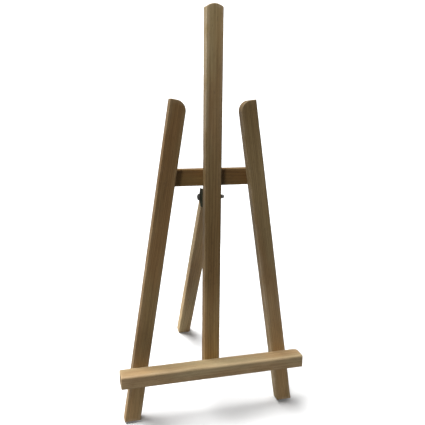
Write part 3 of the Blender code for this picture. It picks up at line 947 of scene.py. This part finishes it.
class EASEL_OT_front_legs(bpy.types.Operator):
    """Build the two splayed front legs"""

    bl_idname = "easel.front_legs"
    bl_label = "Front legs"

    def execute(self, context):
        timber = context.scene.easel_timber
        half = 0.5 * timber.width
        drop = half * math.tan(timber.splay)
        corner = (timber.leg_round - half, timber.leg_length - timber.leg_round)
        across = (0, STRIP_WIDTH)
        # Painted light and shade along each front leg: much lighter at the foot, darker higher
        # up.
        left_painted_light = (
            (0.0, 1.50, -1.3),
            (0.05, 1.15, -1.0),
            (0.10, 0.52, 0.3),
            (0.14, 0.82, 0.0),
            (0.24, 0.76, -0.3),
            (0.32, 0.55, 0.6),
            (0.40, 0.68, 0.0),
        )
        right_painted_light = (
            (0.0, 1.75, -1.8),
            (0.08, 1.06, -0.6),
            (0.14, 1.20, -2.0),
            (0.21, 0.66, -0.6),
            (0.30, 0.92, -1.0),
            (0.40, 0.50, 0.3),
        )
        legs = (
            ("left", -1.0, 11.0, (0.052, 0.020, 0.2), left_painted_light),
            ("right", 1.0, 17.0, (-0.047, 0.033, 0.6), right_painted_light),
        )
        for label, side, seed, pith, painted_light_and_tones in legs:
            outline = [(-half, drop), (half, -drop), (half, timber.leg_length)]
            outline += arc(corner, timber.leg_round, 90.0, 180.0, 18)
            outline = [(side * x, y) for x, y in outline]
            work = make_timber(
                outline, timber.thick, FACE_AXES, timber.eased, across, seed, FACE_SWAY, EDGE_DENT
            )
            place = Matrix.Translation((side * timber.foot_spread, 0.5 * timber.thick, 0.0))
            splay = Matrix.Rotation(-side * timber.splay, 4, "Y")
            matrix = frame_axes(context) @ place @ splay
            leg = to_object(work, label + "_leg_batten", matrix)
            tools = screw_holes(context, "crossbar_screw", label)
            tools += screw_holes(context, "ledge_screw", label)
            cut(leg, tools)
            finish_timber(context, leg, label + "_leg", pith, painted_light_and_tones)
        return {"FINISHED"}


class EASEL_OT_crossbar(bpy.types.Operator):
    """Build the crossbar behind the mast and legs"""

    bl_idname = "easel.crossbar"
    bl_label = "Crossbar"

    def execute(self, context):
        timber = context.scene.easel_timber
        half = 0.5 * timber.width
        reach = timber.crossbar_half
        back = 2.0 * timber.thick + HOLE_GAP
        depth = timber.thick + HOLE_GAP - BUTT_GAP
        outline = [(-half, -reach), (half, -reach), (half, reach), (-half, reach)]
        across = (0, STRIP_WIDTH)
        work = make_timber(
            outline, depth, FACE_AXES, timber.eased, across, 23.0, 0.00002, 0.0003
        )
        place = Matrix.Translation((0.0, back - 0.5 * depth, timber.crossbar_centre))
        bar = to_object(work, "crossbar_batten", frame_axes(context) @ place @ LYING)
        cut(bar, screw_holes(context, "crossbar_screw"))
        pith = (0.026, -0.049, 0.4)
        # Painted shade: the crossbar is made darker along its whole length, most towards its
        # right end.
        painted_light_and_tones = ((-0.06, 0.62, 1.5), (0.0, 0.58, 1.5), (0.06, 0.42, 1.3))
        finish_timber(context, bar, "crossbar", pith, painted_light_and_tones)
        return {"FINISHED"}


class EASEL_OT_ledge(bpy.types.Operator):
    """Build the ledge that the plate stands on"""

    bl_idname = "easel.ledge"
    bl_label = "Ledge"

    def execute(self, context):
        timber = context.scene.easel_timber
        front = -timber.ledge_depth
        nose = timber.ledge_nose
        top = timber.ledge_height
        outline = [(front, 0.0), (-BUTT_GAP, 0.0), (-BUTT_GAP, top)]
        outline += arc((front + nose, top - nose), nose, 90.0, 180.0, 8)
        section_axes = Matrix(((0, -1, 0, 0), (1, 0, 0, 0), (0, 0, 1, 0), (0, 0, 0, 1)))
        long = 2.0 * timber.ledge_half
        across = (1, STRIP_WIDTH)
        nick = (Vector((-top, -NICK_SETBACK, timber.ledge_half)), NICK_RADIUS, NICK_DEPTH)
        work = make_timber(
            outline, long, section_axes, timber.eased, across, 31.0, 0.00004, EDGE_DENT, (nick,)
        )
        place = Matrix.Translation((0.0, 0.0, timber.ledge_bottom))
        ledge = to_object(work, "ledge_rail", frame_axes(context) @ place @ LYING)
        cut(ledge, screw_holes(context, "ledge_screw"))
        pith = (0.044, 0.061, 0.1)
        painted_light_and_tones = ((-0.12, 1.0, 0.0), (0.0, 1.0, 0.0), (0.12, 0.98, 0.0))
        finish_timber(context, ledge, "ledge", pith, painted_light_and_tones, "ledge_wood")
        return {"FINISHED"}


class EASEL_OT_rear_leg(bpy.types.Operator):
    """Build the rear leg that hangs from the pivot bolt"""

    bl_idname = "easel.rear_leg"
    bl_label = "Rear leg"

    def execute(self, context):
        timber = context.scene.easel_timber
        fittings = context.scene.easel_fittings
        half = 0.5 * timber.thick
        stance = timber.open_angle - timber.lean
        reach = HINGE_PLACE.z / math.cos(stance)
        rise = half * math.tan(stance)
        head = timber.rear_head
        web = timber.thick + HOLE_GAP + fittings.plate
        stop = fittings.hinge_back - web - HOLE_GAP
        opened = timber.open_angle
        bevel_low = (stop * math.cos(opened) - half) / math.sin(opened)
        bevel_start = bevel_low * math.cos(opened) + stop * math.sin(opened)
        bevel_end = (stop - head * math.sin(opened)) / math.cos(opened)
        round_radius = timber.rear_head_round
        corner = arc((half - round_radius, head - round_radius), round_radius, 0.0, 90.0, 12)
        outline = [(-half, rise - reach), (half, -rise - reach)] + corner
        outline += [(-bevel_end, head), (-half, bevel_start)]
        width = timber.rear_width
        across = (0, REAR_STRIP_WIDTH)
        work = make_timber(
            outline, width, SIDE_AXES, timber.eased, across, 41.0, FACE_SWAY, EDGE_DENT
        )
        pivot = Matrix.Translation((0.0, fittings.hinge_back, fittings.hinge_height))
        swing = Matrix.Rotation(opened, 4, "X")
        leg = to_object(work, "rear_leg_batten", frame_axes(context) @ pivot @ swing)
        bore_radius = fittings.bolt_radius + HOLE_GAP
        matrix = frame_axes(context) @ pivot @ LYING
        cut(leg, [bore_cutter("leg_bore", bore_radius, width, matrix)])
        pith = (-0.039, 0.044, 0.7)
        # Painted light: the rear leg is made lighter towards its foot.
        painted_light_and_tones = ((-0.28, 2.0, 0.0), (-0.20, 1.85, 0.0), (-0.12, 1.25, 0.0), (0.0, 1.0, 0.0))
        finish_timber(context, leg, "rear_leg", pith, painted_light_and_tones, "rear_leg_wood", LEG_BODY)
        return {"FINISHED"}


class EASEL_OT_bracket(bpy.types.Operator):
    """Fold the enamelled bracket that carries the pivot bolt"""

    bl_idname = "easel.bracket"
    bl_label = "Bracket"

    def execute(self, context):
        timber = context.scene.easel_timber
        fittings = context.scene.easel_fittings
        finish = context.scene.easel_finish
        inside = 0.5 * fittings.inside
        out = inside + fittings.plate
        front = timber.thick + HOLE_GAP
        web = front + fittings.plate
        reach = fittings.hinge_back + fittings.nose + CUT_MARGIN
        bend = fittings.bend
        inner_bend = bend - fittings.plate
        channel = arc((bend - out, front + bend), bend, 180.0, 270.0, 8)
        channel += arc((out - bend, front + bend), bend, 270.0, 360.0, 8)
        channel += [(out, reach), (inside, reach)]
        channel += arc((inside - inner_bend, web + inner_bend), inner_bend, 0.0, -90.0, 4)
        channel += arc((inner_bend - inside, web + inner_bend), inner_bend, 270.0, 180.0, 4)
        channel += [(-inside, reach), (-out, reach)]
        height = fittings.top - fittings.bottom
        work = prism(channel, height, Matrix.Identity(4))
        middle = Matrix.Translation((0.0, 0.0, 0.5 * (fittings.top + fittings.bottom)))
        bracket = to_object(work, "bracket_plate", frame_axes(context) @ middle)

        corner = fittings.corner
        low_centre = (fittings.lower_reach - corner, fittings.bottom + corner)
        high_centre = (fittings.upper_reach - corner, fittings.top - corner)
        bolt_centre = (fittings.hinge_back, fittings.hinge_height)
        cheek = [(front - CUT_MARGIN, fittings.bottom)]
        cheek += arc(low_centre, corner, -90.0, CHEEK_LOWER_END, 8)
        cheek += arc(bolt_centre, fittings.nose, CHEEK_NOSE_START, CHEEK_NOSE_END, 24)
        cheek += arc(high_centre, corner, CHEEK_UPPER_START, 90.0, 8)
        cheek += [(front - CUT_MARGIN, fittings.top)]
        work = prism(cheek, 2.0 * (out + CUT_MARGIN), SIDE_AXES)
        shape = to_object(work, "cheek_shape", frame_axes(context))
        cut(bracket, [shape], "INTERSECT")

        bore_radius = fittings.bolt_radius + HOLE_GAP
        matrix = frame_axes(context) @ Matrix.Translation((0.0, *bolt_centre)) @ LYING
        tools = [bore_cutter("bracket_bore", bore_radius, 2.0 * out, matrix)]
        tools += screw_holes(context, "bracket_screw")
        cut(bracket, tools)
        rounding = bracket.modifiers.new("rounded_rims", "BEVEL")
        rounding.width = RIM_ROUND
        rounding.segments = 2
        rounding.limit_method = "ANGLE"
        rounding.angle_limit = SHARP_EDGE
        bake(bracket)
        paint = coated_metal_material(
            context, "bracket_enamel", finish.enamel, roughness=0.6, wear_amount=0.15, shine=0.1
        )
        finish_piece(bracket, paint, "hinge_bracket", FRAME_BODY)
        return {"FINISHED"}


class EASEL_OT_pivot(bpy.types.Operator):
    """Make the pivot bolt, its washer and its nut"""

    bl_idname = "easel.pivot"
    bl_label = "Pivot bolt"

    def execute(self, context):
        fittings = context.scene.easel_fittings
        finish = context.scene.easel_finish
        coat = finish.black_steel
        # Lighter towards the tip, dark at the head: steel worn bare at the tip, and painted light
        # there.
        painted_light_and_tones = ((-0.032, 2.5, 0.0), (-0.020, 2.5, 0.0), (-0.008, 0.18, 0.5), (0.0025, 0.14, 1.0))
        steel = coated_metal_material(
            context, "bolt_steel", coat, roughness=0.4, wear_amount=0.2, shine=0.3, painted_light_and_tones=painted_light_and_tones
        )
        out = 0.5 * fittings.inside + fittings.plate
        centre = Vector((0.0, fittings.hinge_back, fittings.hinge_height))
        along = frame_axes(context) @ Matrix.Translation(centre)

        head_left = Matrix.Rotation(math.radians(-90.0), 4, "Y")
        seat = -out - HOLE_GAP
        head = fittings.bolt_head
        tall = fittings.bolt_head_height
        radius = fittings.bolt_radius
        shank_length = fittings.bolt_tip - seat
        profile = [(0.0, tall), (0.45 * head, tall)]
        profile += [(share * head, drop * tall) for share, drop in BOLT_CROWN]
        profile += [(head, 0.06 * tall), (0.97 * head, 0.0), (radius, 0.0)]
        thread_start = -2.0 * (out + HOLE_GAP)
        row_step = fittings.bolt_pitch / RINGS_PER_TURN
        height = thread_start
        chamfer = 0.6 * fittings.bolt_pitch
        while height > chamfer - shank_length:
            profile.append((radius, height))
            height -= row_step
        profile += [(radius - chamfer, -shank_length), (0.0, -shank_length)]
        thread = (chamfer - shank_length, thread_start, fittings.bolt_pitch, BOLT_THREAD_DEPTH)
        matrix = along @ Matrix.Translation((seat, 0.0, 0.0)) @ head_left
        bolt = to_object(lathe(profile, THREAD_SIDES, thread), "bolt", matrix)
        top = along @ Matrix.Translation((seat - tall, 0.0, 0.0)) @ head_left
        cut(bolt, [cross_cutter("bolt_cross", BOLT_CROSS, top)])
        finish_piece(bolt, steel, "pivot_bolt", FRAME_BODY)

        tip_right = Matrix.Rotation(math.radians(90.0), 4, "Y")
        bore = radius + HOLE_GAP
        rim = fittings.washer_radius
        flat = fittings.washer_thick
        soft = 0.15 * flat
        profile = [(bore + soft, flat), (rim - soft, flat), (rim, flat - soft), (rim, soft)]
        profile += [(rim - soft, 0.0), (bore + soft, 0.0), (bore, soft), (bore, flat - soft)]
        start = out + HOLE_GAP
        matrix = along @ Matrix.Translation((start, 0.0, 0.0)) @ tip_right
        washer = to_object(ring_lathe(profile, SIDES_ROUND), "washer", matrix)
        finish_piece(washer, steel, "pivot_washer", FRAME_BODY)

        start += flat + HOLE_GAP
        thick = fittings.nut_thick
        corner = 0.5 * fittings.nut_flats / math.cos(math.radians(30.0))
        hexagon = arc((0.0, 0.0), corner, 30.0, 330.0, 5)
        lift = Matrix.Translation((0.0, 0.0, 0.5 * thick))
        matrix = along @ Matrix.Translation((start, 0.0, 0.0)) @ tip_right
        nut = to_object(prism(hexagon, thick, lift), "nut", matrix)
        inner = 0.5 * fittings.nut_flats
        cone = (corner - inner) * math.tan(math.radians(30.0))
        wide = corner + CUT_MARGIN
        profile = [(0.0, thick), (inner, thick), (corner, thick - cone)]
        profile += [(wide, thick - cone), (wide, cone), (corner, cone), (inner, 0.0), (0.0, 0.0)]
        cut(nut, [to_object(lathe(profile, SIDES_ROUND), "nut_chamfer", matrix)], "INTERSECT")
        lead = 0.5 * fittings.bolt_pitch
        high = thick + CUT_MARGIN
        profile = [(0.0, high), (bore + lead + CUT_MARGIN, high), (bore, thick - lead)]
        profile += [(bore, lead), (bore + lead + CUT_MARGIN, -CUT_MARGIN), (0.0, -CUT_MARGIN)]
        cut(nut, [to_object(lathe(profile, SIDES_ROUND), "nut_bore", matrix)])
        finish_piece(nut, steel, "pivot_nut", FRAME_BODY)
        return {"FINISHED"}


class EASEL_OT_screws(bpy.types.Operator):
    """Drive the countersunk wood screws"""

    bl_idname = "easel.screws"
    bl_label = "Screws"

    def execute(self, context):
        fittings = context.scene.easel_fittings
        finish = context.scene.easel_finish
        zinc = coated_metal_material(
            context,
            "zinc_steel",
            finish.zinc,
            roughness=0.30,
            metal_share=1.0,
            wear_amount=0.3,
            shine=0.5,
        )
        head = fittings.screw_head
        shank = fittings.screw_shank
        cone = head - shank
        for name, place, reach in screw_rows(context):
            profile = [(0.0, 0.0), (0.86 * head, 0.0)]
            profile += [(head, -SCREW_RIM_EASED), (head, -SCREW_RIM)]
            neck = -SCREW_RIM - cone
            row_step = fittings.screw_pitch / RINGS_PER_TURN
            height = neck
            point = fittings.screw_point - reach
            while height > point:
                profile.append((shank, height))
                height -= row_step
            profile += [(shank, point), (0.0, -reach)]
            thread = (point, neck, fittings.screw_pitch, SCREW_THREAD_DEPTH)
            matrix = screw_matrix(context, place)
            screw = to_object(lathe(profile, THREAD_SIDES, thread), name + "_zinc", matrix)
            cut(screw, [cross_cutter("screw_cross", SCREW_CROSS, matrix)])
            finish_piece(screw, zinc, name, FRAME_BODY)
        return {"FINISHED"}


class EASEL_OT_stage(bpy.types.Operator):
    """Lay the floor, hang the lights and place the camera"""

    bl_idname = "easel.stage"
    bl_label = "Stage"

    def execute(self, context):
        scene = context.scene
        stage = scene.easel_stage
        half = 0.5 * stage.floor_size
        work = bmesh.new()
        corners = ((-half, -half), (half, -half), (half, half), (-half, half))
        work.faces.new([work.verts.new((x, y, 0.0)) for x, y in corners])
        floor = to_object(work, "floor", Matrix.Identity(4))
        floor.data.materials.append(floor_material(context))

        hang_light(scene, "key_light", stage.key_strength, stage.key_spread, KEY_SIDE)
        hang_light(scene, "fill_light", stage.fill_strength, stage.fill_spread, FILL_SIDE)
        hang_light(scene, "back_light", stage.back_strength, stage.back_spread, BACK_SIDE)

        world = bpy.data.worlds.new("studio")
        scene.world = world
        world.use_nodes = True
        tree = world.node_tree
        tree.nodes.clear()
        strength = {"Strength": stage.sky_strength}
        lit = shader_node(tree, "ShaderNodeBackground", "room light", strength)
        white = {"Color": (1.0, 1.0, 1.0, 1.0)}
        seen = shader_node(tree, "ShaderNodeBackground", "pale backdrop", white)
        rays = shader_node(tree, "ShaderNodeLightPath", "ray kind").outputs["Is Camera Ray"]
        inputs = {0: rays, 1: lit.outputs[0], 2: seen.outputs[0]}
        choose = shader_node(tree, "ShaderNodeMixShader", "backdrop", inputs)
        shader_node(tree, "ShaderNodeOutputWorld", "world", {"Surface": choose.outputs[0]})
        scene.view_settings.view_transform = "Standard"

        lens = bpy.data.cameras.new("camera")
        lens.lens = stage.lens
        lens.shift_y = stage.shift
        lens.clip_start = 0.01
        lens.clip_end = stage.floor_size
        camera = bpy.data.objects.new("camera", lens)
        scene.collection.objects.link(camera)
        turn = Matrix.Rotation(-stage.camera_turn, 4, "Z")
        tilt = Matrix.Rotation(math.radians(90.0) - stage.camera_tilt, 4, "X")
        roll = Matrix.Rotation(stage.camera_roll, 4, "Z")
        camera.matrix_world = Matrix.Translation(stage.camera_place) @ turn @ tilt @ roll
        scene.camera = camera
        return {"FINISHED"}


class EASEL_PT_panel(bpy.types.Panel):
    """Lists the easel's sizes, colours and building steps"""

    bl_label = "Easel"
    bl_idname = "EASEL_PT_panel"
    bl_space_type = "VIEW_3D"
    bl_region_type = "UI"
    bl_category = "Easel"

    def draw(self, context):
        layout = self.layout
        for operator in OPERATORS:
            layout.operator(operator.bl_idname)
        for name in GROUPS:
            settings = getattr(context.scene, name)
            box = layout.box()
            box.label(text=name.replace("_", " ").capitalize())
            for field in settings.__annotations__:
                box.prop(settings, field)


OPERATORS = (
    EASEL_OT_mast,
    EASEL_OT_front_legs,
    EASEL_OT_crossbar,
    EASEL_OT_ledge,
    EASEL_OT_rear_leg,
    EASEL_OT_bracket,
    EASEL_OT_pivot,
    EASEL_OT_screws,
    EASEL_OT_stage,
)
GROUPS = {
    "easel_timber": EaselTimber,
    "easel_fittings": EaselFittings,
    "easel_finish": EaselFinish,
    "easel_stage": EaselStage,
}


def register():
    for group in GROUPS.values():
        bpy.utils.register_class(group)
    for operator in OPERATORS:
        bpy.utils.register_class(operator)
    bpy.utils.register_class(EASEL_PT_panel)
    for name, group in GROUPS.items():
        setattr(bpy.types.Scene, name, PointerProperty(type=group))


def unregister():
    for name in GROUPS:
        delattr(bpy.types.Scene, name)
    bpy.utils.unregister_class(EASEL_PT_panel)
    for operator in reversed(OPERATORS):
        bpy.utils.unregister_class(operator)
    for group in reversed(list(GROUPS.values())):
        bpy.utils.unregister_class(group)


def main():
    register()
    bpy.ops.easel.mast()
    bpy.ops.easel.front_legs()
    bpy.ops.easel.crossbar()
    bpy.ops.easel.ledge()
    bpy.ops.easel.rear_leg()
    bpy.ops.easel.bracket()
    bpy.ops.easel.pivot()
    bpy.ops.easel.screws()
    bpy.ops.easel.stage()


if __name__ == "__main__":
    main()
